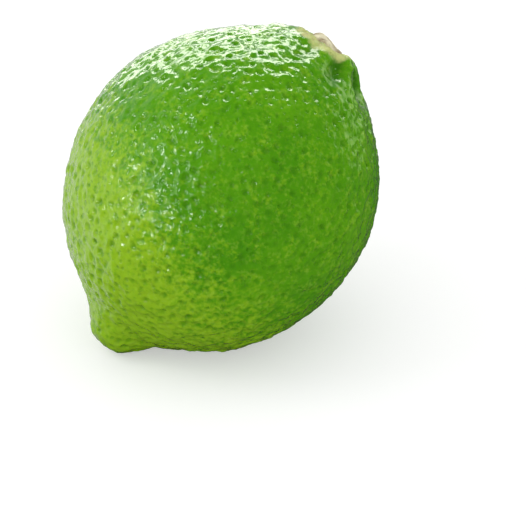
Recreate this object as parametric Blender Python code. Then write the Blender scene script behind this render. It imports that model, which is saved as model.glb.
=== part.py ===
"""A whole lime with its dry calyx button, lying on a small flat spot of its skin.

Run it with: blender --background --python part.py
Metres, +Z up. The origin is the middle of the flat spot, on the surface that the lime rests on.
The fruit's core lies in the XZ plane and leans up towards +X, with the stem end on top.
"""

import math

import bmesh
import bpy
from mathutils import Matrix, Vector

MM = 0.001

# The fruit, measured from its equator, which is its widest place.
EQUATOR_RADIUS = 27.5 * MM
CROWN_HEIGHT = 28.2 * MM  # equator to the round top, without the collar
BASE_HEIGHT = 30.8 * MM  # equator to the round bottom, without the nipple

# The collar: the raised shoulder round the stem end.
COLLAR_RISE = 3.5 * MM
COLLAR_RADIUS = 11.6 * MM
COLLAR_STEEPNESS = 4.5

# The neck: a hollow round the collar, deep on one side and gone on the other.
NECK_DEPTH = 1.2 * MM
NECK_RADIUS = 9.0 * MM
NECK_WIDTH = 1.9 * MM
NECK_STEEPNESS = 2
DEEP_SIDE = math.radians(-39)

# The ribs, which run out from the dish over the collar.
RIB_COUNT = 8
RIB_RISE = 0.4 * MM
RIB_OFFSET = 2.6 * MM  # from the dish's rim to the middle of a rib
RIB_LENGTH = 3.2 * MM
RIB_STEEPNESS = 4


# The nipple: the blunt point at the blossom end.
NIPPLE_RISE = 5.0 * MM
NIPPLE_RADIUS = 5.8 * MM
NIPPLE_STEEPNESS = 5

# The body isn't quite round.
OVAL_SHARE = 0.012
OVAL_TURN = math.radians(25)
FACET_SHARE = 0.006
FACET_COUNT = 5

# The calyx button: a thin lobed disc with the scar of the stem in its middle.
CALYX_RADIUS = 3.3 * MM
CALYX_THICKNESS = 1.6 * MM
CALYX_EDGE = 0.8 * MM
CALYX_LOBES = 5
CALYX_LOBE_SHARE = 0.09
SCAR_DEPTH = 0.6 * MM
SCAR_RADIUS = 1.3 * MM
SCAR_STEEPNESS = 6

# The dish in the collar that the calyx grew from, a little wider than the calyx.
DISH_MARGIN = 0.7 * MM
DISH_RADIUS = CALYX_RADIUS + DISH_MARGIN
DISH_DEPTH = 1.3 * MM
DISH_STEEPNESS = 8
SEAT_GAP = 0.3 * MM  # between the calyx and the skin under it

# How the fruit lies.
LEAN = math.radians(48)  # its core, above the horizontal
FLAT_DEPTH = 1.2 * MM  # how much of the round skin the flat spot takes off

# Mesh fineness, as segments round the core and rings from end to end.
SKIN_SEGMENTS, SKIN_RINGS = 64, 48
CALYX_SEGMENTS, CALYX_RINGS = 40, 16
SHARP_EDGE = math.radians(35)

SKIN_GREEN = (0.16, 0.36, 0.015, 1)
CALYX_TAN = (0.46, 0.42, 0.2, 1)


def bell(distance, height, width, steepness):
    """A rise with a round shoulder: full height at the middle, half of it at width."""
    return height / (1 + abs(distance / width) ** steepness)


def ribs(turn):
    """The ribs' pattern, from -1 in a furrow to 1 on a rib, uneven from one to the next."""
    strength = 0.75 + 0.25 * math.cos(turn - DEEP_SIDE)
    return strength * math.cos(RIB_COUNT * (turn - DEEP_SIDE) + 0.9 * math.sin(2 * turn))


def out_of_round(turn):
    """The share by which the skin stands out from a true circle."""
    oval = OVAL_SHARE * math.cos(2 * (turn - OVAL_TURN))
    return 1 + oval + FACET_SHARE * math.cos(FACET_COUNT * turn)


def crown_height(radius, turn):
    """Height of the skin over the equator's plane, on the stem's side."""
    cap = CROWN_HEIGHT * math.sqrt(max(0.0, 1 - (radius / EQUATOR_RADIUS) ** 2))
    collar = bell(radius, COLLAR_RISE, COLLAR_RADIUS, COLLAR_STEEPNESS)
    deep = (1 + math.cos(turn - DEEP_SIDE)) / 2
    neck = deep * bell(radius - NECK_RADIUS, NECK_DEPTH, NECK_WIDTH, NECK_STEEPNESS)
    rib = ribs(turn) * bell(radius - DISH_RADIUS - RIB_OFFSET, RIB_RISE, RIB_LENGTH, RIB_STEEPNESS)
    dish = bell(radius, DISH_DEPTH, DISH_RADIUS, DISH_STEEPNESS)
    ends_at_equator = cap / CROWN_HEIGHT
    return cap + (collar - neck + rib) * ends_at_equator - dish


def base_depth(radius):
    """Depth of the skin under the equator's plane, on the blossom's side."""
    cap = BASE_HEIGHT * math.sqrt(max(0.0, 1 - (radius / EQUATOR_RADIUS) ** 2))
    ends_at_equator = cap / BASE_HEIGHT
    return cap + bell(radius, NIPPLE_RISE, NIPPLE_RADIUS, NIPPLE_STEEPNESS) * ends_at_equator


def skin_point(polar, turn):
    """A point of the skin in the fruit's own frame, where +Z runs along the core to the stem."""
    radius = EQUATOR_RADIUS * math.sin(polar)
    height = crown_height(radius, turn) if polar < math.pi / 2 else -base_depth(radius)
    reach = radius * out_of_round(turn)
    return Vector((reach * math.cos(turn), reach * math.sin(turn), height))


def calyx_point(polar, turn):
    """A point of the calyx button, in the same frame. Its underside follows the dish."""
    lobes = 1 + CALYX_LOBE_SHARE * math.cos(CALYX_LOBES * turn)
    radius = CALYX_RADIUS * lobes * math.sin(polar) ** 0.6
    rise = 0.5 * CALYX_EDGE * (1 + math.cos(polar))
    if polar < math.pi / 2:
        crown = (CALYX_THICKNESS - CALYX_EDGE) * math.cos(polar) ** 0.7
        rise += crown - bell(radius, SCAR_DEPTH, SCAR_RADIUS, SCAR_STEEPNESS)
    height = crown_height(radius, turn) + SEAT_GAP + rise
    return Vector((radius * math.cos(turn), radius * math.sin(turn), height))


def shaped_ball(segments, rings, shape):
    """A closed mesh: a ball whose every vertex is moved to shape(polar, turn)."""
    mesh = bmesh.new()
    bmesh.ops.create_uvsphere(mesh, u_segments=segments, v_segments=rings, radius=1)
    for vertex in mesh.verts:
        polar = math.acos(max(-1.0, min(1.0, vertex.co.z)))
        turn = math.atan2(vertex.co.y, vertex.co.x)
        vertex.co = shape(polar, turn)
    return mesh


def lying_matrix():
    """The fruit's own frame turned so that its core leans up towards +X."""
    return Matrix.Rotation(math.pi / 2 - LEAN, 4, "Y")


def flatten(mesh, height):
    """Cuts off what lies under height, closes the cut and returns the cut's middle."""
    cut = bmesh.ops.bisect_plane(
        mesh,
        geom=mesh.verts[:] + mesh.edges[:] + mesh.faces[:],
        plane_co=(0, 0, height),
        plane_no=(0, 0, -1),
        clear_outer=True,
    )
    rim = [item for item in cut["geom_cut"] if isinstance(item, bmesh.types.BMEdge)]
    corners = {vertex for edge in rim for vertex in edge.verts}
    for vertex in corners:
        vertex.co.z = height
    bmesh.ops.edgeloop_fill(mesh, edges=rim)
    bmesh.ops.recalc_face_normals(mesh, faces=mesh.faces)
    across = [vertex.co.x for vertex in corners]
    along = [vertex.co.y for vertex in corners]
    return Vector(((min(across) + max(across)) / 2, (min(along) + max(along)) / 2, height))


def material(name, colour, roughness):
    """A plain finish."""
    made = bpy.data.materials.new(name)
    made.use_nodes = True
    shader = made.node_tree.nodes["Principled BSDF"]
    shader.inputs["Base Color"].default_value = colour
    shader.inputs["Roughness"].default_value = roughness
    shader.inputs["Metallic"].default_value = 0
    return made


def add_piece(name, mesh, finish, collection):
    """Makes a named object of the mesh, shaded smooth."""
    data = bpy.data.meshes.new(name)
    mesh.to_mesh(data)
    mesh.free()
    data.materials.append(finish)
    data.shade_smooth()
    data.set_sharp_from_angle(angle=SHARP_EDGE)
    collection.objects.link(bpy.data.objects.new(name, data))


def main():
    for old in list(bpy.data.objects):
        bpy.data.objects.remove(old)
    collection = bpy.data.collections.new("lime")
    bpy.context.scene.collection.children.link(collection)

    skin = shaped_ball(SKIN_SEGMENTS, SKIN_RINGS, skin_point)
    calyx = shaped_ball(CALYX_SEGMENTS, CALYX_RINGS, calyx_point)
    for mesh in (skin, calyx):
        mesh.transform(lying_matrix())
    lowest = min(vertex.co.z for vertex in skin.verts)
    flat_middle = flatten(skin, lowest + FLAT_DEPTH)
    for mesh in (skin, calyx):
        mesh.transform(Matrix.Translation(-flat_middle))

    add_piece("lime_fruit", skin, material("lime_skin", SKIN_GREEN, 0.35), collection)
    add_piece("calyx_button", calyx, material("dry_calyx", CALYX_TAN, 0.8), collection)


main()
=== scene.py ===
"""The looks of a whole lime: its dimpled peel, its dry calyx button and a white studio.

Laid out as an add-on and run as a script. Metres, +Z up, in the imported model's own frame.
"""

import math

import bmesh
import bpy
import numpy as np
from bpy.props import FloatProperty, FloatVectorProperty, IntProperty, PointerProperty
from mathutils import Matrix, Vector, noise
from mathutils.bvhtree import BVHTree


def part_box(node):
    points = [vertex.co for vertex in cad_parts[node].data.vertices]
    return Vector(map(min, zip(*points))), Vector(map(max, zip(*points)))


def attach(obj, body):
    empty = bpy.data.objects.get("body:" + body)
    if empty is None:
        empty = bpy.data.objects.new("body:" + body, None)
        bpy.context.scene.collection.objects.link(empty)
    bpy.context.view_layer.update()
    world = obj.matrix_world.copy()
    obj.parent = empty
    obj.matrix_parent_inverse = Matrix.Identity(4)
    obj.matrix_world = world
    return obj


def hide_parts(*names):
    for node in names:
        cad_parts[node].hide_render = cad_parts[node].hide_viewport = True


bl_info = {
    "name": "Lime",
    "version": (1, 0, 0),
    "blender": (4, 5, 0),
    "location": "3D View > Sidebar > Lime",
    "description": "Makes a whole lime's peel and calyx button, and a white studio round it",
    "category": "Object",
}

MM = 0.001

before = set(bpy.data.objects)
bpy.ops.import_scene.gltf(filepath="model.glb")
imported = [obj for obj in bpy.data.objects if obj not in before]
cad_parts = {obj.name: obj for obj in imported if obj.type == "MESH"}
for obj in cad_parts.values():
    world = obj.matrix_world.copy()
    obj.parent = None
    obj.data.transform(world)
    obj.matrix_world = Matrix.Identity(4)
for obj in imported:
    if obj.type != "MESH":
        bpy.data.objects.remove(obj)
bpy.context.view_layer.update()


def core_ends():
    """The nipple's tip and the middle of the calyx, which the fruit's core joins."""
    low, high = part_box("calyx_button")
    calyx = (Vector(low) + Vector(high)) / 2
    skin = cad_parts["lime_fruit"].data.vertices
    tip = max((vertex.co for vertex in skin), key=lambda point: (point - calyx).length)
    return tip.copy(), calyx


NIPPLE_TIP, CALYX_MIDDLE = core_ends()
CORE = (CALYX_MIDDLE - NIPPLE_TIP).normalized()
CORE_LENGTH = (CALYX_MIDDLE - NIPPLE_TIP).length
FRUIT_MIDDLE = (NIPPLE_TIP + CALYX_MIDDLE) / 2


# Where the peel ripened against the light, and the lime's widest radius, which measures it.
CHEEK_DIRECTION = Vector((-0.9, 0.2, -0.38)).normalized()
EQUATOR_RADIUS = 27.5 * MM

# Round the core: a rib of the shoulder, its higher side and the side where the dry halo is wide.
RIB_TURN = math.radians(240)
HIGH_SIDE = math.radians(285)
HALO_SIDE = math.radians(195)
RIB_COUNT = 8

# The shoulder, out from the core: where ribs and lip begin, stand full and die out.
RIB_START, RIB_FULL = 3.8 * MM, 6.4 * MM
LIP_START, LIP_CREST, LIP_END = 3.2 * MM, 4.4 * MM, 9 * MM
SHOULDER_FADE, SHOULDER_END = 7.2 * MM, 14 * MM
# How much of a rib's height is cut into the skin, as furrows, rather than raised on it.
FURROW_SHARE = 0.85

# From the calyx: where the skin is calm and where its halo ends, which reaches further on one side.
CALM_START, CALM_END = 6 * MM, 19 * MM
HALO_START, HALO_END = 3.7 * MM, 5.6 * MM
HALO_REACH = 2.9 * MM

# Shares of the core's length from the nipple: its light end and the stretch with crowded pits.
BLOSSOM_START, BLOSSOM_END = 0.14, 0.5
CROWDED_END = 0.24
CROWDING = 0.6

# Over the ground: the skin under this is pressed flat and has no relief.
PRESSED_START, PRESSED_END = 0.05 * MM, 0.8 * MM


# ---------------------------------------------------------------- sizes and colours


class PeelSettings(bpy.types.PropertyGroup):
    """The peel's fineness, relief and colours."""

    cells: IntProperty(
        name="Cells", description="Cells along each side of the peel's grid", default=128, min=16
    )
    gland_spacing: FloatProperty(
        name="Gland Spacing",
        description="Least distance between two oil glands",
        default=1.85 * MM,
        unit="LENGTH",
    )
    gland_radius: FloatProperty(
        name="Gland Radius",
        description="Mean radius of the pit over an oil gland",
        default=0.68 * MM,
        unit="LENGTH",
    )
    gland_depth: FloatProperty(
        name="Gland Depth",
        description="Mean depth of the pit over an oil gland",
        default=0.32 * MM,
        unit="LENGTH",
    )
    wave_size: FloatProperty(
        name="Wave Size",
        description="Width of the bumps that crowd the peel",
        default=1.5 * MM,
        unit="LENGTH",
    )
    wave_height: FloatProperty(
        name="Wave Height",
        description="Height of the bumps that crowd the peel",
        default=0.66 * MM,
        unit="LENGTH",
    )
    swell_size: FloatProperty(
        name="Swell Size",
        description="Width of the broad dents and swells",
        default=4.5 * MM,
        unit="LENGTH",
    )
    swell_height: FloatProperty(
        name="Swell Height",
        description="Height of the broad dents and swells",
        default=0.75 * MM,
        unit="LENGTH",
    )
    lobe_height: FloatProperty(
        name="Lobe Height",
        description="From the furrows to the ribs of the shoulder round the calyx",
        default=1.2 * MM,
        unit="LENGTH",
    )
    lip_height: FloatProperty(
        name="Lip Height",
        description="How far the shoulder stands over the calyx on its higher side",
        default=1.2 * MM,
        unit="LENGTH",
    )
    seed: IntProperty(name="Seed", description="Which scatter of glands is used", default=7)
    deep_green: FloatVectorProperty(
        name="Deep Green",
        description="Colour of the ripe green peel",
        default=(0.058, 0.275, 0.0006),
        subtype="COLOR",
    )
    leaf_green: FloatVectorProperty(
        name="Leaf Green",
        description="Colour of the lighter patches of the peel",
        default=(0.11, 0.36, 0.0012),
        subtype="COLOR",
    )
    yellow_green: FloatVectorProperty(
        name="Yellow Green",
        description="Colour of the cheek that ripened against the light",
        default=(0.3, 0.53, 0.012),
        subtype="COLOR",
    )
    pale_speck: FloatVectorProperty(
        name="Pale Speck",
        description="Colour of the thin skin that shows between the glands",
        default=(0.34, 0.58, 0.06),
        subtype="COLOR",
    )
    # Painted shade: the dark green laid in the furrows between the shoulder's ribs.
    furrow_shade: FloatVectorProperty(
        name="Furrow Green",
        description="Colour of the shaded furrows between the shoulder's ribs",
        default=(0.012, 0.11, 0.0004),
        subtype="COLOR",
    )
    halo: FloatVectorProperty(
        name="Halo",
        description="Colour of the skin next to the calyx",
        default=(0.55, 0.6, 0.19),
        subtype="COLOR",
    )
    fleck_brown: FloatVectorProperty(
        name="Fleck Brown",
        description="Colour of the corky flecks in the halo",
        default=(0.36, 0.3, 0.11),
        subtype="COLOR",
    )


class CalyxSettings(bpy.types.PropertyGroup):
    """The dry calyx button's relief and colours."""

    roughening: FloatProperty(
        name="Roughening",
        description="Height of the calyx's dry crust",
        default=0.25 * MM,
        unit="LENGTH",
    )
    stub_height: FloatProperty(
        name="Stub Height",
        description="How far the torn stub of the stem stands up in the middle",
        default=0.5 * MM,
        unit="LENGTH",
    )
    sinking: FloatProperty(
        name="Sinking",
        description="How far the dry button has sunk into its dish",
        default=0.35 * MM,
        unit="LENGTH",
    )
    curl: FloatProperty(
        name="Curl",
        description="How far the dry lobes curl up at the rim",
        default=0.4 * MM,
        unit="LENGTH",
    )
    crack_depth: FloatProperty(
        name="Crack Depth",
        description="Depth of the cracks between the dry lobes",
        default=0.4 * MM,
        unit="LENGTH",
    )
    tan: FloatVectorProperty(
        name="Tan",
        description="Colour of the dry tissue",
        default=(0.95, 0.9, 0.62),
        subtype="COLOR",
    )
    # Also painted shade: the brown laid in the calyx's cracks and sunken lumps.
    brown: FloatVectorProperty(
        name="Brown",
        description="Colour of its cracks and of the stem's scar",
        default=(0.33, 0.26, 0.14),
        subtype="COLOR",
    )


class StageSettings(bpy.types.PropertyGroup):
    """The studio's camera and light."""

    azimuth: FloatProperty(
        name="Azimuth",
        description="Where the camera stands round the lime",
        default=math.radians(-26.7),
        subtype="ANGLE",
    )
    elevation: FloatProperty(
        name="Elevation",
        description="How far the camera looks down",
        default=math.radians(30),
        subtype="ANGLE",
    )
    distance: FloatProperty(
        name="Distance",
        description="From the camera to the lime",
        default=0.9,
        unit="LENGTH",
    )
    view_width: FloatProperty(
        name="View Width",
        description="Width of what the camera sees at the lime",
        default=93.7 * MM,
        unit="LENGTH",
    )


# ---------------------------------------------------------------- node helpers


def live_socket(sockets, name):
    """The enabled socket with that name, or the one at that place."""
    if isinstance(name, int):
        return sockets[name]
    return next(item for item in sockets if item.name == name and item.enabled)


class Wiring:
    """Adds nodes to a tree: a number or colour is set on a socket, an output is linked to it."""

    def __init__(self, tree):
        self.tree = tree

    def add(self, kind, inputs=None, **settings):
        node = self.tree.nodes.new(kind)
        node.location = (200 * len(self.tree.nodes), 0)
        for name, value in settings.items():
            setattr(node, name, value)
        for name, value in (inputs or {}).items():
            target = live_socket(node.inputs, name)
            if isinstance(value, bpy.types.NodeSocket):
                self.tree.links.new(value, target)
            else:
                target.default_value = value
        return node

    def math(self, operation, *values):
        return self.add("ShaderNodeMath", dict(enumerate(values)), operation=operation).outputs[0]

    def vector(self, operation, *values):
        node = self.add("ShaderNodeVectorMath", dict(enumerate(values)), operation=operation)
        return next(output for output in node.outputs if output.enabled)

    def attribute(self, name, kind="FLOAT"):
        """A named attribute in a geometry tree."""
        node = self.add("GeometryNodeInputNamedAttribute", {"Name": name}, data_type=kind)
        return live_socket(node.outputs, "Attribute")

    def noise(self, place, size, detail):
        """Soft noise whose features are about that size."""
        scale = self.math("DIVIDE", 1.0, size)
        inputs = {"Vector": place, "Scale": scale, "Detail": detail}
        return self.add("ShaderNodeTexNoise", inputs).outputs[0]

    def ramp(self, value, low, high, start=0.0, end=1.0):
        """value, eased from start at low to end at high."""
        inputs = {"Value": value, "From Min": low, "From Max": high, "To Min": start, "To Max": end}
        return self.add("ShaderNodeMapRange", inputs, interpolation_type="SMOOTHSTEP").outputs[0]

    def blend(self, share, first, second, mode="MIX"):
        """Two colours, mixed."""
        node = self.add("ShaderNodeMix", data_type="RGBA", blend_type=mode)
        for name, value in (("Factor", share), ("A", first), ("B", second)):
            target = live_socket(node.inputs, name)
            if isinstance(value, bpy.types.NodeSocket):
                self.tree.links.new(value, target)
            elif name == "Factor":
                target.default_value = value
            else:
                target.default_value = (*value[:3], 1)
        return live_socket(node.outputs, "Result")


# A pit's section from its middle out to two radii: 0 is its floor and two thirds the skin's level.
PIT_PROFILE = ((0.0, 0.0), (0.2, 0.14), (0.42, 0.62), (0.55, 0.82), (0.75, 0.72), (1.0, 0.667))


def shape_curve(node, points):
    """Gives a Float Curve node these points."""
    curve = node.mapping.curves[0]
    while len(curve.points) < len(points):
        curve.points.new(0.5, 0.5)
    for point, place in zip(curve.points, points):
        point.location = place
    node.mapping.update()


def new_geometry_tree(name, inputs):
    """A geometry tree with a Geometry input, the named inputs and a Geometry output."""
    tree = bpy.data.node_groups.new(name, "GeometryNodeTree")
    tree.interface.new_socket("Geometry", in_out="INPUT", socket_type="NodeSocketGeometry")
    for label, kind in inputs:
        tree.interface.new_socket(label, in_out="INPUT", socket_type=kind)
    tree.interface.new_socket("Geometry", in_out="OUTPUT", socket_type="NodeSocketGeometry")
    return tree


def bake_tree(piece, tree, values):
    """Runs the tree on the piece with these inputs and leaves its result as a plain mesh."""
    modifier = piece.modifiers.new(tree.name, "NODES")
    modifier.node_group = tree
    for item in tree.interface.items_tree:
        if item.in_out == "INPUT" and item.name in values:
            modifier[item.identifier] = values[item.name]
    evaluated = piece.evaluated_get(bpy.context.evaluated_depsgraph_get())
    result = bpy.data.meshes.new_from_object(evaluated)
    piece.modifiers.remove(modifier)
    old = piece.data
    piece.data = result
    bpy.data.meshes.remove(old)


# ---------------------------------------------------------------- shader groups


def new_shader_group(name, inputs, outputs):
    """A shader node group and its wiring, with inputs as (name, kind, default)."""
    group = bpy.data.node_groups.new(name, "ShaderNodeTree")
    for label, kind, default in inputs:
        made = group.interface.new_socket(label, in_out="INPUT", socket_type=kind)
        made.default_value = default
    for label, kind in outputs:
        group.interface.new_socket(label, in_out="OUTPUT", socket_type=kind)
    return group, Wiring(group)


def mottling_group():
    """Soft patches of one size, from 0 to 1, for the colour of grown tissue."""
    group, wire = new_shader_group(
        "mottling",
        [("Patch Size", "NodeSocketFloat", 0.01), ("Contrast", "NodeSocketFloat", 0.3)],
        [("Patches", "NodeSocketFloat")],
    )
    given = wire.add("NodeGroupInput")
    place = wire.add("ShaderNodeTexCoord").outputs["Object"]
    scale = wire.math("DIVIDE", 1.0, given.outputs["Patch Size"])
    clouds = wire.add("ShaderNodeTexNoise", {"Vector": place, "Scale": scale, "Detail": 3.0})
    low = wire.math("SUBTRACT", 0.5, given.outputs["Contrast"])
    high = wire.math("ADD", 0.5, given.outputs["Contrast"])
    wire.add("NodeGroupOutput", {"Patches": wire.ramp(clouds.outputs[0], low, high)})
    return group


def fine_grain_group():
    """The height of a fine tissue grain, from 0 to 1."""
    group, wire = new_shader_group(
        "fine_grain",
        [("Grain Size", "NodeSocketFloat", 0.0004), ("Softness", "NodeSocketFloat", 0.5)],
        [("Height", "NodeSocketFloat")],
    )
    given = wire.add("NodeGroupInput")
    place = wire.add("ShaderNodeTexCoord").outputs["Object"]
    scale = wire.math("DIVIDE", 1.0, given.outputs["Grain Size"])
    clouds = wire.add("ShaderNodeTexNoise", {"Vector": place, "Scale": scale, "Detail": 2.0})
    cells = wire.add(
        "ShaderNodeTexVoronoi", {"Vector": place, "Scale": scale}, feature="SMOOTH_F1"
    )
    mixed = wire.add("ShaderNodeMix", {"Factor": given.outputs["Softness"]}, data_type="FLOAT")
    wire.tree.links.new(cells.outputs["Distance"], live_socket(mixed.inputs, "A"))
    wire.tree.links.new(clouds.outputs[0], live_socket(mixed.inputs, "B"))
    wire.add("NodeGroupOutput", {"Height": live_socket(mixed.outputs, "Result")})
    return group


def placed(wire, group, inputs):
    """The group placed in a tree with these inputs."""
    return wire.add("ShaderNodeGroup", inputs, node_tree=group)


# ---------------------------------------------------------------- materials

# Sizes of the patches that mottle the peel, of its pores and of its finest grain.
BROAD_PATCH, SMALL_PATCH, TINY_PATCH, SPECK = 13 * MM, 2.4 * MM, 0.8 * MM, 0.7 * MM
PORE_SPACING, PORE_DEPTH = 1.25 * MM, 0.16 * MM
SKIN_GRAIN, SKIN_GRAIN_HEIGHT = 0.4 * MM, 0.05 * MM
# The wax over the softer skin: its cover, and what it loses on dry tissue.
WAX_COVER, WAX_LOSS = 0.65, 0.6
# The calyx's patches and fibres.
CALYX_PATCH, FIBRE, FIBRE_HEIGHT = 0.9 * MM, 0.25 * MM, 0.08 * MM


def new_material(name):
    """A material with an empty tree but for its output, and its wiring."""
    made = bpy.data.materials.new(name)
    made.use_nodes = True
    made.node_tree.nodes.clear()
    return made, Wiring(made.node_tree)


def peel_material(settings, mottling, grain):
    """Waxy green peel with a yellow cheek, pale specks, pores, a dry halo and painted shade in the
    pores, the glands' pits and the furrows.
    """
    made, wire = new_material("lime_peel")
    gland, cheek, halo, blossom, furrow = (
        wire.add("ShaderNodeAttribute", attribute_name=name).outputs["Fac"]
        for name in ("gland", "cheek", "halo", "blossom", "furrow")
    )

    # Deep green with lighter patches, and yellow on the cheek and at the blossom end.
    broad = placed(wire, mottling, {"Patch Size": BROAD_PATCH, "Contrast": 0.25}).outputs[0]
    small = placed(wire, mottling, {"Patch Size": SMALL_PATCH, "Contrast": 0.3}).outputs[0]
    green = wire.blend(broad, settings.deep_green, settings.leaf_green)
    green = wire.blend(wire.math("MULTIPLY", small, 0.4), green, settings.leaf_green)
    tiny = placed(wire, mottling, {"Patch Size": TINY_PATCH, "Contrast": 0.2}).outputs[0]
    pale = wire.math("MAXIMUM", wire.ramp(cheek, 0.1, 0.75), wire.math("MULTIPLY", blossom, 0.82))
    pale = wire.math("ADD", pale, wire.math("MULTIPLY_ADD", small, 0.55, -0.27))
    pale = wire.math("ADD", pale, wire.math("MULTIPLY_ADD", tiny, 0.6, -0.3))
    colour = wire.blend(wire.ramp(pale, 0.0, 1.0, 0.0, 0.9), green, settings.yellow_green)

    # Pores that follow the skin's grain, each of its own size and a little out of round.
    place = wire.add("ShaderNodeAttribute", attribute_name="grain").outputs["Vector"]
    pores = wire.add("ShaderNodeTexVoronoi", {"Vector": place, "Scale": 1 / PORE_SPACING})
    bend = wire.math("MULTIPLY_ADD", tiny, 0.16, -0.08)
    some = wire.add("ShaderNodeSeparateColor", {"Color": pores.outputs["Color"]}).outputs[0]
    apart = wire.math("ADD", pores.outputs["Distance"], bend)
    apart = wire.math("DIVIDE", apart, wire.math("MULTIPLY_ADD", some, 0.8, 0.55))
    pit = wire.ramp(apart, 0.08, 0.34, 1.0, 0.0)

    # Pale specks, and painted shade: darker green in the pores, in the glands' pits and in the
    # furrows.
    specks = placed(wire, mottling, {"Patch Size": SPECK, "Contrast": 0.16}).outputs[0]
    specks = wire.math("MULTIPLY", wire.ramp(specks, 0.5, 1.0, 0.0, 0.3), small)
    colour = wire.blend(specks, colour, settings.pale_speck)
    colour = wire.blend(wire.math("MULTIPLY", pit, 0.3), colour, settings.deep_green)
    colour = wire.blend(wire.math("MULTIPLY", gland, 0.5), colour, settings.deep_green)
    # Painted shade in the furrows between the shoulder's ribs.
    colour = wire.blend(wire.math("MULTIPLY", furrow, 0.8), colour, settings.furrow_shade)

    # The dry halo with its ragged edge and corky flecks.
    ragged = wire.math("ADD", halo, wire.math("MULTIPLY_ADD", small, 0.5, -0.25))
    ragged = wire.math("ADD", ragged, wire.math("MULTIPLY_ADD", tiny, 0.3, -0.15))
    halo = wire.math("MULTIPLY", wire.ramp(ragged, -0.1, 1.0), wire.ramp(halo, 0.0, 0.5))
    patchy = wire.math("MULTIPLY", halo, wire.ramp(small, 0.0, 0.6, 0.6, 1.0))
    colour = wire.blend(patchy, colour, settings.halo)
    flecks = wire.math("MULTIPLY", halo, wire.ramp(tiny, 0.55, 1.0, 0.0, 0.45))
    colour = wire.blend(flecks, colour, settings.fleck_brown)

    # Shallow pores and the finest grain, as bumps, under wax that is thin on dry tissue.
    height = wire.math("MULTIPLY", pit, wire.ramp(some, 0.0, 1.0, -0.5, -1.0))
    dimples = wire.add(
        "ShaderNodeBump", {"Strength": 1.0, "Distance": PORE_DEPTH, "Height": height}
    )
    micro = placed(wire, grain, {"Grain Size": SKIN_GRAIN, "Softness": 0.6}).outputs[0]
    bump = wire.add(
        "ShaderNodeBump",
        {
            "Strength": 0.5,
            "Distance": SKIN_GRAIN_HEIGHT,
            "Height": micro,
            "Normal": dimples.outputs["Normal"],
        },
    )
    dull = wire.math("MAXIMUM", halo, wire.math("MULTIPLY", furrow, 0.8))
    shader = wire.add(
        "ShaderNodeBsdfPrincipled",
        {
            "Base Color": colour,
            "Roughness": wire.math("MULTIPLY_ADD", halo, 0.4, 0.18),
            "IOR": 1.32,
            "Normal": bump.outputs["Normal"],
            "Subsurface Weight": 0.08,
            "Subsurface Radius": (0.9, 1.3, 0.2),
            "Subsurface Scale": 1.0 * MM,
            "Coat Weight": wire.math("MULTIPLY_ADD", dull, -WAX_LOSS, WAX_COVER),
            "Coat Roughness": 0.08,
            "Coat IOR": 1.45,
        },
    )
    wire.add("ShaderNodeOutputMaterial", {"Surface": shader.outputs[0]})
    return made


def calyx_material(settings, mottling, grain):
    """Dull dry tissue: tan on its crust, brown painted shade in its cracks and sunken lumps, and
    the stem's brown scar.
    """
    made, wire = new_material("dry_calyx")
    crust = wire.add("ShaderNodeAttribute", attribute_name="crust").outputs["Fac"]
    small = placed(wire, mottling, {"Patch Size": CALYX_PATCH, "Contrast": 0.2}).outputs[0]
    colour = wire.blend(wire.math("MULTIPLY", small, 0.4), settings.tan, settings.brown)
    # Brown where the crust is low: painted shade in the cracks and hollows, and the stem's scar.
    colour = wire.blend(crust, settings.brown, colour)
    fibres = placed(wire, grain, {"Grain Size": FIBRE, "Softness": 0.5}).outputs[0]
    bump = wire.add(
        "ShaderNodeBump", {"Strength": 0.6, "Distance": FIBRE_HEIGHT, "Height": fibres}
    )
    shader = wire.add(
        "ShaderNodeBsdfPrincipled",
        {"Base Color": colour, "Roughness": 0.8, "Normal": bump.outputs["Normal"]},
    )
    wire.add("ShaderNodeOutputMaterial", {"Surface": shader.outputs[0]})
    return made


def behind_and_left(wire, way, level, right, left_share):
    """How far a way points behind the lime, with this share of how far it points to the left."""
    aside = wire.vector("DOT_PRODUCT", way, right)
    back = wire.vector("DOT_PRODUCT", way, level)
    return wire.math("MULTIPLY_ADD", aside, -left_share, back)


def stage_material(level, right):
    """White to the eye with a soft shadow, and for gloss a floor that is dark in front."""
    made, wire = new_material("white_sweep")
    place = wire.add("ShaderNodeNewGeometry").outputs["Position"]
    behind = behind_and_left(wire, wire.vector("NORMALIZE", place), level, right, 0.9)
    behind = wire.ramp(behind, 0.2, 0.9, 0.06, 0.65)
    bounce = wire.add("ShaderNodeBsdfDiffuse", {"Color": FLOOR_BOUNCE})
    seen = wire.add("ShaderNodeBsdfDiffuse", {"Color": FLOOR_WHITE})
    glow = wire.add("ShaderNodeEmission", {"Color": (1, 1, 1, 1), "Strength": FLOOR_GLOW})
    both = wire.add("ShaderNodeAddShader", {0: seen.outputs[0], 1: glow.outputs[0]})
    mirrored = wire.add("ShaderNodeBsdfDiffuse", {"Color": behind})
    rays = wire.add("ShaderNodeLightPath").outputs
    choice = {0: rays["Is Glossy Ray"], 1: bounce.outputs[0], 2: mirrored.outputs[0]}
    unseen = wire.add("ShaderNodeMixShader", choice)
    choice = {0: rays["Is Camera Ray"], 1: unseen.outputs[0], 2: both.outputs[0]}
    shown = wire.add("ShaderNodeMixShader", choice)
    wire.add("ShaderNodeOutputMaterial", {"Surface": shown.outputs[0]})
    return made


# ---------------------------------------------------------------- the peel


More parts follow.
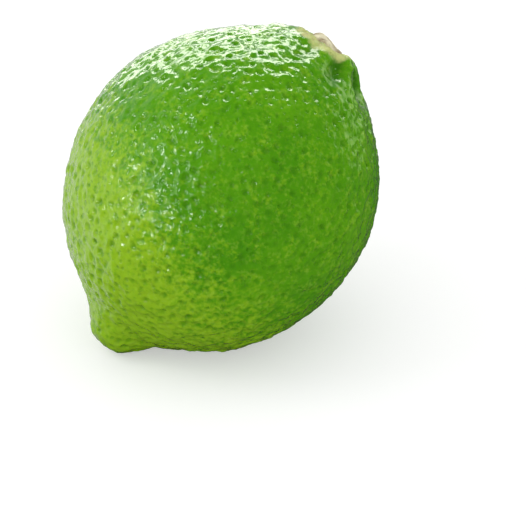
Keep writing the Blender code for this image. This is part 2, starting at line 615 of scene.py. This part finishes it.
def rounded_solid(node, levels):
    """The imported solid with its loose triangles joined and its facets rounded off."""
    mesh = bmesh.new()
    mesh.from_mesh(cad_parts[node].data)
    bmesh.ops.remove_doubles(mesh, verts=mesh.verts, dist=0.001 * MM)
    bmesh.ops.join_triangles(
        mesh,
        faces=mesh.faces,
        angle_face_threshold=math.radians(25),
        angle_shape_threshold=math.radians(60),
    )
    data = bpy.data.meshes.new(node + "_rounded")
    mesh.to_mesh(data)
    mesh.free()
    guide = bpy.data.objects.new(node + "_rounded", data)
    bpy.context.scene.collection.objects.link(guide)
    rounding = guide.modifiers.new("rounding", "SUBSURF")
    rounding.levels = levels
    rounding.render_levels = levels
    evaluated = guide.evaluated_get(bpy.context.evaluated_depsgraph_get())
    rounded = bpy.data.meshes.new_from_object(evaluated)
    bpy.data.objects.remove(guide)
    bpy.data.meshes.remove(data)
    return rounded


def fruit_matrix():
    """From the fruit's own frame, +Z along the core to the stem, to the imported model's."""
    across = Vector((0, 1, 0))
    out = across.cross(CORE).normalized()
    turned = Matrix((out, across, CORE)).transposed().to_4x4()
    return Matrix.Translation(FRUIT_MIDDLE) @ turned


def cube_ball(cells):
    """Unit directions and quads of a cube's grid blown up to a ball, its cells near equal."""
    mesh = bmesh.new()
    bmesh.ops.create_cube(mesh, size=2)
    bmesh.ops.subdivide_edges(mesh, edges=mesh.edges, cuts=cells - 1, use_grid_fill=True)
    mesh.verts.ensure_lookup_table()
    corners = np.array([vertex.co for vertex in mesh.verts])
    mesh.verts.index_update()
    quads = [[vertex.index for vertex in face.verts] for face in mesh.faces]
    mesh.free()
    corners = np.tan(corners * math.pi / 4)
    return corners / np.linalg.norm(corners, axis=1)[:, None], quads


def reach(tree, to_world, direction):
    """How far the solid's surface is from the fruit's middle in a direction of its own frame."""
    start = to_world.translation
    hit = tree.ray_cast(start, to_world.to_3x3() @ Vector(direction))[0]
    return (hit - start).length


def evenly_spread(directions, tree, to_world):
    """Shifts the directions towards the ends, so that cells are as long there as elsewhere."""
    polar = np.linspace(0, math.pi, 181)
    turns = np.linspace(0, 2 * math.pi, 6, endpoint=False)
    radii = []
    for angle in polar:
        out, along = math.sin(angle), math.cos(angle)
        ring = [(out * math.cos(turn), out * math.sin(turn), along) for turn in turns]
        radii.append(np.mean([reach(tree, to_world, way) for way in ring]))
    profile = np.array([np.sin(polar) * radii, np.cos(polar) * radii])
    steps = np.linalg.norm(np.diff(profile, axis=1), axis=0)
    share = np.concatenate([[0], np.cumsum(steps)]) / steps.sum()
    angle = np.arccos(np.clip(directions[:, 2], -1, 1))
    moved = np.interp(angle / math.pi, share, polar)
    flat = np.linalg.norm(directions[:, :2], axis=1)
    flat[flat == 0] = 1
    sideways = directions[:, :2] / flat[:, None]
    return np.column_stack([sideways * np.sin(moved)[:, None], np.cos(moved)])


def smooth_step(value, low, high):
    """0 up to low and 1 from high, eased between them."""
    share = np.clip((value - low) / (high - low), 0, 1)
    return share * share * (3 - 2 * share)


def save_field(mesh, name, values, kind="FLOAT"):
    """Stores one number or vector for each vertex."""
    layer = mesh.attributes.new(name, kind, "POINT")
    layer.data.foreach_set("value" if kind == "FLOAT" else "vector", np.ravel(values))


def turned_to(turn, side):
    """1 on that side of the core, falling to 0 opposite it."""
    return 0.5 + 0.5 * np.cos(turn - side)


def shoulder(own, settings):
    """How far the ribs round the calyx lift the skin, and how deep in a furrow each point is."""
    turn = np.arctan2(own[:, 1], own[:, 0])
    out = np.hypot(own[:, 0], own[:, 1])
    fading = 1 - smooth_step(out, SHOULDER_FADE, SHOULDER_END)
    fading[own[:, 2] < 0] = 0
    ribbed = smooth_step(out, RIB_START, RIB_FULL) * fading
    wander = 0.16 * np.sin(3 * turn + 1) + 0.3 * (out / (10 * MM) - 0.5)
    rib = np.abs(np.cos(RIB_COUNT / 2 * (turn - RIB_TURN + wander * 0.5))) ** 1.3
    high_side = turned_to(turn, HIGH_SIDE) ** 1.6
    lift = ribbed * settings.lobe_height * (rib - FURROW_SHARE) * high_side
    lip = smooth_step(out, LIP_START, LIP_CREST) * (1 - smooth_step(out, LIP_CREST, LIP_END))
    lift += fading * lip * settings.lip_height * high_side
    return lift, ribbed * np.clip(1.4 - 1.6 * rib, 0, 1) * high_side


def peel_sheet(settings):
    """The peel's fine grid on the rounded solid, with the fields that steer relief and colour."""
    rounded = rounded_solid("lime_fruit", levels=3)
    corners = [vertex.co for vertex in rounded.vertices]
    tree = BVHTree.FromPolygons(corners, [face.vertices for face in rounded.polygons])
    to_world = fruit_matrix()
    turned = np.array(to_world.to_3x3())
    start = np.array(to_world.translation)
    directions, quads = cube_ball(settings.cells)
    directions = evenly_spread(directions, tree, to_world)
    ways = directions @ turned.T
    points = np.array([tree.ray_cast(Vector(start), Vector(way))[0] for way in ways])
    bpy.data.meshes.remove(rounded)

    own = (points - start) @ turned
    lift, furrow = shoulder(own, settings)
    points = points + ways * lift[:, None]
    mesh = bpy.data.meshes.new("peel")
    mesh.from_pydata(points, [], quads)
    # Where the furrows lie, which the peel's material darkens as painted shade.
    save_field(mesh, "furrow", furrow)

    turn = np.arctan2(own[:, 1], own[:, 0])
    from_calyx = np.linalg.norm(points - np.array(CALYX_MIDDLE), axis=1)
    calm = 1 - smooth_step(from_calyx, CALM_START, CALM_END)
    save_field(mesh, "stem", calm * smooth_step(turned_to(turn, HIGH_SIDE), 0.6, 0.95))
    from_halo = from_calyx - HALO_REACH * turned_to(turn, HALO_SIDE) ** 2
    save_field(mesh, "halo", 1 - smooth_step(from_halo, HALO_START, HALO_END))

    height = own[:, 2] + CORE_LENGTH / 2
    blossom = 1 - smooth_step(height / CORE_LENGTH, BLOSSOM_START, BLOSSOM_END)
    save_field(mesh, "blossom", blossom)
    facing = (points - np.array(FRUIT_MIDDLE)) @ np.array(CHEEK_DIRECTION)
    save_field(mesh, "cheek", facing / EQUATOR_RADIUS)
    grain = own.copy()
    grain[:, 2] += CROWDING * np.clip(CROWDED_END * CORE_LENGTH - height, 0, None)
    save_field(mesh, "grain", grain, "FLOAT_VECTOR")
    save_field(mesh, "lying", 1 - smooth_step(points[:, 2], PRESSED_START, PRESSED_END))
    return mesh


# Pits of the smallest and the largest glands, as shares of the mean pit's size.
SMALLEST_GLAND, LARGEST_GLAND = 0.4, 1.3
# What is left of the pits' depth and of the waves' height where the shoulder is calm.
CALM_PITS, CALM_WAVES = 0.45, 0.55


def nearest_gland(wire, glands, grain, here):
    """The gland nearest to each point of the peel, by the skin's grain: its middle and size."""
    laid = wire.add("GeometryNodeSetPosition", {"Geometry": glands, "Position": grain}).outputs[0]
    any_size = wire.add(
        "FunctionNodeRandomValue",
        {"Min": SMALLEST_GLAND, "Max": LARGEST_GLAND},
        data_type="FLOAT",
    )
    nearest = wire.add(
        "GeometryNodeSampleNearest", {"Geometry": laid, "Sample Position": grain}, domain="POINT"
    ).outputs[0]
    middle = wire.add(
        "GeometryNodeSampleIndex",
        {"Geometry": laid, "Value": here, "Index": nearest},
        data_type="FLOAT_VECTOR",
    ).outputs[0]
    size = wire.add(
        "GeometryNodeSampleIndex",
        {"Geometry": laid, "Value": live_socket(any_size.outputs, "Value"), "Index": nearest},
        data_type="FLOAT",
    ).outputs[0]
    return middle, size


def skin_waves(wire, given, here, stem):
    """How far the bumps and broad swells of the skin lift it."""
    calm = wire.ramp(stem, 0.0, 1.0, 1.0, CALM_WAVES)
    waves = wire.math("SUBTRACT", wire.noise(here, given["Wave Size"], 0.6), 0.5)
    wave = wire.math("MULTIPLY", wire.math("MULTIPLY", waves, given["Wave Height"]), calm)
    swells = wire.math("SUBTRACT", wire.noise(here, given["Swell Size"], 1.0), 0.5)
    return wire.math("MULTIPLY_ADD", swells, given["Swell Height"], wave)


def gland_tree(material):
    """Scatters oil glands over the peel and sinks a rimmed pit over each, on bumpy skin."""
    tree = new_geometry_tree(
        "gland_pits",
        [
            ("Gland Spacing", "NodeSocketFloat"),
            ("Gland Radius", "NodeSocketFloat"),
            ("Gland Depth", "NodeSocketFloat"),
            ("Wave Size", "NodeSocketFloat"),
            ("Wave Height", "NodeSocketFloat"),
            ("Swell Size", "NodeSocketFloat"),
            ("Swell Height", "NodeSocketFloat"),
            ("Seed", "NodeSocketInt"),
        ],
    )
    wire = Wiring(tree)
    given = wire.add("NodeGroupInput").outputs
    stem = wire.attribute("stem")
    lying = wire.attribute("lying")
    grain = wire.attribute("grain", "FLOAT_VECTOR")
    here = wire.add("GeometryNodeInputPosition").outputs[0]

    crowding = wire.math("MULTIPLY", wire.math("DIVIDE", 1.0, given["Gland Spacing"]), 2.0)
    glands = wire.add(
        "GeometryNodeDistributePointsOnFaces",
        {
            "Mesh": given["Geometry"],
            "Distance Min": given["Gland Spacing"],
            "Density Max": wire.math("MULTIPLY", crowding, crowding),
            "Seed": given["Seed"],
        },
        distribute_method="POISSON",
    ).outputs["Points"]
    middle, size = nearest_gland(wire, glands, grain, here)

    ragged = wire.noise(here, wire.math("MULTIPLY", given["Gland Radius"], 1.5), 0.0)
    apart = wire.vector("DISTANCE", grain, middle)
    apart = wire.math("MULTIPLY", apart, wire.ramp(ragged, 0.25, 0.75, 0.75, 1.3))
    radius = wire.math("MULTIPLY", given["Gland Radius"], size)
    share = wire.math("DIVIDE", apart, wire.math("MULTIPLY", radius, 2.0))
    profile = wire.add("ShaderNodeFloatCurve", {"Value": share})
    shape_curve(profile, PIT_PROFILE)
    pit = wire.math("MULTIPLY_ADD", profile.outputs[0], 1.5, -1.0)
    depth = wire.math("MULTIPLY", given["Gland Depth"], size)
    depth = wire.math("MULTIPLY", depth, wire.ramp(stem, 0.0, 1.0, 1.0, CALM_PITS))
    pit = wire.math("MULTIPLY", pit, depth)

    wave = skin_waves(wire, given, here, stem)
    standing = wire.math("SUBTRACT", 1.0, lying)
    lift = wire.math("MULTIPLY", wire.math("ADD", wave, pit), standing)
    normal = wire.add("GeometryNodeInputNormal").outputs[0]
    offset = wire.add("ShaderNodeVectorMath", {0: normal, "Scale": lift}, operation="SCALE")
    shaped = wire.add(
        "GeometryNodeSetPosition", {"Geometry": given["Geometry"], "Offset": offset.outputs[0]}
    ).outputs[0]
    # The gland mask, 1 in a pit's middle, which the peel's material darkens as painted shade.
    named = wire.add(
        "GeometryNodeStoreNamedAttribute",
        {"Geometry": shaped, "Name": "gland", "Value": wire.ramp(share, 0.1, 0.5, 1.0, 0.0)},
        data_type="FLOAT",
        domain="POINT",
    ).outputs[0]
    real = wire.add("GeometryNodeRealizeInstances", {"Geometry": named}).outputs[0]
    finished = wire.add("GeometryNodeSetMaterial", {"Geometry": real, "Material": material})
    wire.add("NodeGroupOutput", {"Geometry": finished.outputs[0]})
    return tree


def finish_piece(piece, node):
    """Hands a finished piece to the frame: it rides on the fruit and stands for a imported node."""
    piece.data.shade_smooth()
    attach(piece, "root")
    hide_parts(node)


def link_piece(name, mesh):
    """An object in the scene with that mesh."""
    piece = bpy.data.objects.new(name, mesh)
    bpy.context.scene.collection.objects.link(piece)
    return piece


class LIME_OT_peel(bpy.types.Operator):
    """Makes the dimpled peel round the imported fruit"""

    bl_idname = "lime.peel"
    bl_label = "Make Peel"

    def execute(self, context):
        settings = context.scene.lime_peel
        material = peel_material(settings, mottling_group(), fine_grain_group())
        piece = link_piece("peel", peel_sheet(settings))
        values = {
            "Gland Spacing": settings.gland_spacing,
            "Gland Radius": settings.gland_radius,
            "Gland Depth": settings.gland_depth,
            "Wave Size": settings.wave_size,
            "Wave Height": settings.wave_height,
            "Swell Size": settings.swell_size,
            "Swell Height": settings.swell_height,
            "Seed": settings.seed,
        }
        bake_tree(piece, gland_tree(material), values)
        finish_piece(piece, "lime_fruit")
        return {"FINISHED"}


# ---------------------------------------------------------------- the calyx


# The stub of the stem: its place across the core, where it starts to fall and where it ends.
STUB_MIDDLE = (-0.8 * MM, 0.6 * MM)
STUB_TOP, STUB_FOOT = 1.0 * MM, 2.4 * MM
# The ring of the stem's scar.
SCAR_RADIUS, SCAR_WIDTH = 0.8 * MM, 0.22 * MM
# The button's rim, where its lobes curl and crack.
RIM_START, RIM_END = 1.8 * MM, 3.0 * MM
LUMP_SIZE, SMALL_LUMP_SIZE = 1.9 * MM, 0.7 * MM


def crust_noise(point, size):
    """Soft noise of that size round 0."""
    return noise.noise(point / size)


def calyx_sheet(settings):
    """The button's rounded solid with a lumpy crust, curled lobes and the torn stub of the stem."""
    mesh = rounded_solid("calyx_button", levels=3)
    mesh.name = "dry_calyx_button"
    to_own = (Matrix.Translation(CALYX_MIDDLE) @ fruit_matrix().to_3x3().to_4x4()).inverted()
    normals = [vertex.normal.copy() for vertex in mesh.vertices]
    crust = []
    for vertex, normal in zip(mesh.vertices, normals):
        own = to_own @ vertex.co
        out = math.hypot(own.x, own.y)
        turn = math.atan2(own.y, own.x)
        top = float(smooth_step(normal.dot(CORE), 0.0, 0.5))
        lumps = crust_noise(own, LUMP_SIZE) + 0.35 * crust_noise(own, SMALL_LUMP_SIZE)
        from_stub = math.hypot(own.x - STUB_MIDDLE[0], own.y - STUB_MIDDLE[1])
        stub = float(1 - smooth_step(from_stub + 0.5 * MM * lumps, STUB_TOP, STUB_FOOT))
        edge = float(smooth_step(out, RIM_START, RIM_END))
        groove = top * edge * (1 - abs(math.sin(2.5 * turn + 0.6 + 0.8 * lumps)) ** 0.5)
        scar = top * math.exp(-(((from_stub - SCAR_RADIUS) / SCAR_WIDTH) ** 2))
        curl = edge * (0.6 + 0.4 * math.cos(5 * turn + 1))
        rise = settings.stub_height * stub + settings.curl * curl
        rise -= settings.crack_depth * (groove + 0.4 * scar)
        lumpy = normal * (settings.roughening * lumps)
        vertex.co += CORE * (rise * top - settings.sinking) + lumpy
        # Low crust turns brown: painted shade in sunken lumps and cracks, with the curled rim and
        # the stem's scar in their own colour.
        crust.append(0.75 + 0.9 * lumps - 0.45 * curl - 0.9 * groove - 0.5 * scar)
    save_field(mesh, "crust", np.clip(crust, 0, 1))
    return mesh


class LIME_OT_calyx(bpy.types.Operator):
    """Makes the dry calyx button in its dish"""

    bl_idname = "lime.calyx"
    bl_label = "Make Calyx"

    def execute(self, context):
        settings = context.scene.lime_calyx
        groups = bpy.data.node_groups
        material = calyx_material(settings, groups["mottling"], groups["fine_grain"])
        mesh = calyx_sheet(settings)
        piece = link_piece(mesh.name, mesh)
        mesh.materials.clear()
        mesh.materials.append(material)
        finish_piece(piece, "calyx_button")
        return {"FINISHED"}


# ---------------------------------------------------------------- the stage


def softbox(name, place, size, radiance, tint=(1, 1, 1), lights=True, shines=True):
    """A rectangle of light turned to the lime, that lights the skin or shines in it."""
    light = bpy.data.lights.new(name, "AREA")
    light.shape = "RECTANGLE"
    light.size, light.size_y = size
    light.color = tint
    light.energy = radiance * math.pi * size[0] * size[1]
    made = bpy.data.objects.new(name, light)
    made.location = place
    made.rotation_euler = (FRUIT_MIDDLE - place).to_track_quat("-Z", "Y").to_euler()
    made.visible_camera = False
    made.visible_diffuse = lights
    made.visible_glossy = shines
    bpy.context.scene.collection.objects.link(made)


WARM_WHITE = (0.97, 0.98, 0.86)
LEAF_LIGHT = (0.8, 1.0, 0.5)

# The floor's brightness for the eye, and what its own light adds to it.
FLOOR_WHITE, FLOOR_GLOW = (0.62, 0.62, 0.62, 1), 0.46
FLOOR_BOUNCE = (0.7, 0.7, 0.7, 1)
# How far the floor lies under the lime, so that the two don't share a plane.
FLOOR_GAP = 0.02 * MM
UPWARDS = Vector((0, 0, 1))

# How far right of the lime's middle and under it the camera aims, in widths of its view.
AIM_RIGHT, AIM_DOWN = 0.08745, 0.12738

# Small lamps that glint on the pits: turn and rise in degrees, width in metres and radiance.
GLINT_LAMPS = (
    (-100, 28, 0.05, 15),
    (-110, 11, 0.05, 18),
    (-112, 58, 0.05, 20),
    (-118, 36, 0.07, 16),
    (-127, 6, 0.05, 22),
    (-130, 24, 0.06, 18),
    (-143, 14, 0.05, 24),
    (-152, 3, 0.05, 28),
    (-162, 42, 0.05, 22),
)


def camera_axes(azimuth, elevation):
    """The camera's right, up and viewing directions."""
    right = Vector((math.cos(azimuth), math.sin(azimuth), 0))
    ahead = Vector(
        (
            -math.sin(azimuth) * math.cos(elevation),
            math.cos(azimuth) * math.cos(elevation),
            -math.sin(elevation),
        )
    )
    return right, right.cross(ahead), ahead


def white_floor(level, right):
    """A wide floor just under the lime."""
    bpy.ops.mesh.primitive_plane_add(size=6, location=(0, 0, -FLOOR_GAP))
    floor = bpy.context.object
    floor.name = "floor"
    floor.data.materials.append(stage_material(level, right))


def studio_lights(level, right):
    """Panels that shine in the peel from behind, small glinting lamps and a soft key light."""

    def seen_at(turn, rise, distance=0.6):
        """A place round the lime: turn goes right from straight behind it, rise goes up."""
        turn, rise = math.radians(turn), math.radians(rise)
        flat = level * math.cos(turn) + right * math.sin(turn)
        return FRUIT_MIDDLE + (flat * math.cos(rise) + UPWARDS * math.sin(rise)) * distance

    softbox("overhead_panel", seen_at(5, 40), (0.62, 0.15), 9.3, WARM_WHITE, lights=False)
    softbox("back_panel", seen_at(-12, 8), (0.42, 0.2), 3.2, WARM_WHITE, lights=False)
    softbox("leaf_glow", seen_at(50, 3), (0.45, 0.3), 1.0, LEAF_LIGHT, lights=False)
    for place, (turn, rise, size, radiance) in enumerate(GLINT_LAMPS, start=1):
        softbox(f"glint_lamp_{place}", seen_at(turn, rise), (size, size), radiance, lights=False)
    softbox("left_panel", seen_at(-110, 20), (0.5, 0.4), 0.5, lights=False)
    softbox("left_key", seen_at(-100, 40, 0.4), (0.2, 0.2), 2.0, shines=False)


def studio_world(level, right):
    """Even white light that gloss sees as dark in front and bright behind."""
    world = bpy.data.worlds.new("studio")
    bpy.context.scene.world = world
    world.use_nodes = True
    wire = Wiring(world.node_tree)
    sky = world.node_tree.nodes["Background"]
    sky.inputs["Color"].default_value = (1, 1, 1, 1)
    way = wire.add("ShaderNodeTexCoord").outputs["Generated"]
    behind = behind_and_left(wire, way, level, right, 0.35)
    mirrored = wire.ramp(behind, 0.2, 0.9, 0.04, 0.6)
    rays = wire.add("ShaderNodeLightPath").outputs
    strength = wire.add("ShaderNodeMix", {"Factor": rays["Is Glossy Ray"]}, data_type="FLOAT")
    live_socket(strength.inputs, "A").default_value = 1.0
    world.node_tree.links.new(mirrored, live_socket(strength.inputs, "B"))
    world.node_tree.links.new(live_socket(strength.outputs, "Result"), sky.inputs["Strength"])


def studio_camera(settings, right, up, ahead):
    """The camera, aimed a little to the right of the lime and under it."""
    lens = bpy.data.cameras.new("camera")
    camera = bpy.data.objects.new("camera", lens)
    bpy.context.scene.collection.objects.link(camera)
    aim = FRUIT_MIDDLE + (right * AIM_RIGHT - up * AIM_DOWN) * settings.view_width
    camera.location = aim - ahead * settings.distance
    camera.rotation_mode = "QUATERNION"
    camera.rotation_quaternion = ahead.to_track_quat("-Z", "Y")
    lens.sensor_width = 36
    lens.lens = lens.sensor_width * settings.distance / settings.view_width
    lens.clip_start = 0.05
    lens.clip_end = 20
    bpy.context.scene.camera = camera


class LIME_OT_stage(bpy.types.Operator):
    """Makes the white floor, the soft lights and the camera"""

    bl_idname = "lime.stage"
    bl_label = "Make Stage"

    def execute(self, context):
        settings = context.scene.lime_stage
        right, up, ahead = camera_axes(settings.azimuth, settings.elevation)
        level = Vector((ahead.x, ahead.y, 0)).normalized()
        white_floor(level, right)
        studio_lights(level, right)
        studio_world(level, right)
        studio_camera(settings, right, up, ahead)
        context.scene.view_settings.view_transform = "Standard"
        return {"FINISHED"}


class LIME_PT_panel(bpy.types.Panel):
    """The lime's makers and their sizes"""

    bl_idname = "LIME_PT_panel"
    bl_label = "Lime"
    bl_space_type = "VIEW_3D"
    bl_region_type = "UI"
    bl_category = "Lime"

    def draw(self, context):
        for maker, group in MAKERS:
            box = self.layout.box()
            box.operator(maker)
            settings = getattr(context.scene, group)
            for name in settings.__annotations__:
                box.prop(settings, name)


MAKERS = (("lime.peel", "lime_peel"), ("lime.calyx", "lime_calyx"), ("lime.stage", "lime_stage"))
SETTINGS = {"lime_peel": PeelSettings, "lime_calyx": CalyxSettings, "lime_stage": StageSettings}
CLASSES = (*SETTINGS.values(), LIME_OT_peel, LIME_OT_calyx, LIME_OT_stage, LIME_PT_panel)


def register():
    for item in CLASSES:
        bpy.utils.register_class(item)
    for name, group in SETTINGS.items():
        setattr(bpy.types.Scene, name, PointerProperty(type=group))


def unregister():
    for name in SETTINGS:
        delattr(bpy.types.Scene, name)
    for item in reversed(CLASSES):
        bpy.utils.unregister_class(item)


def main():
    register()
    bpy.ops.lime.peel()
    bpy.ops.lime.calyx()
    bpy.ops.lime.stage()


if __name__ == "__main__":
    main()
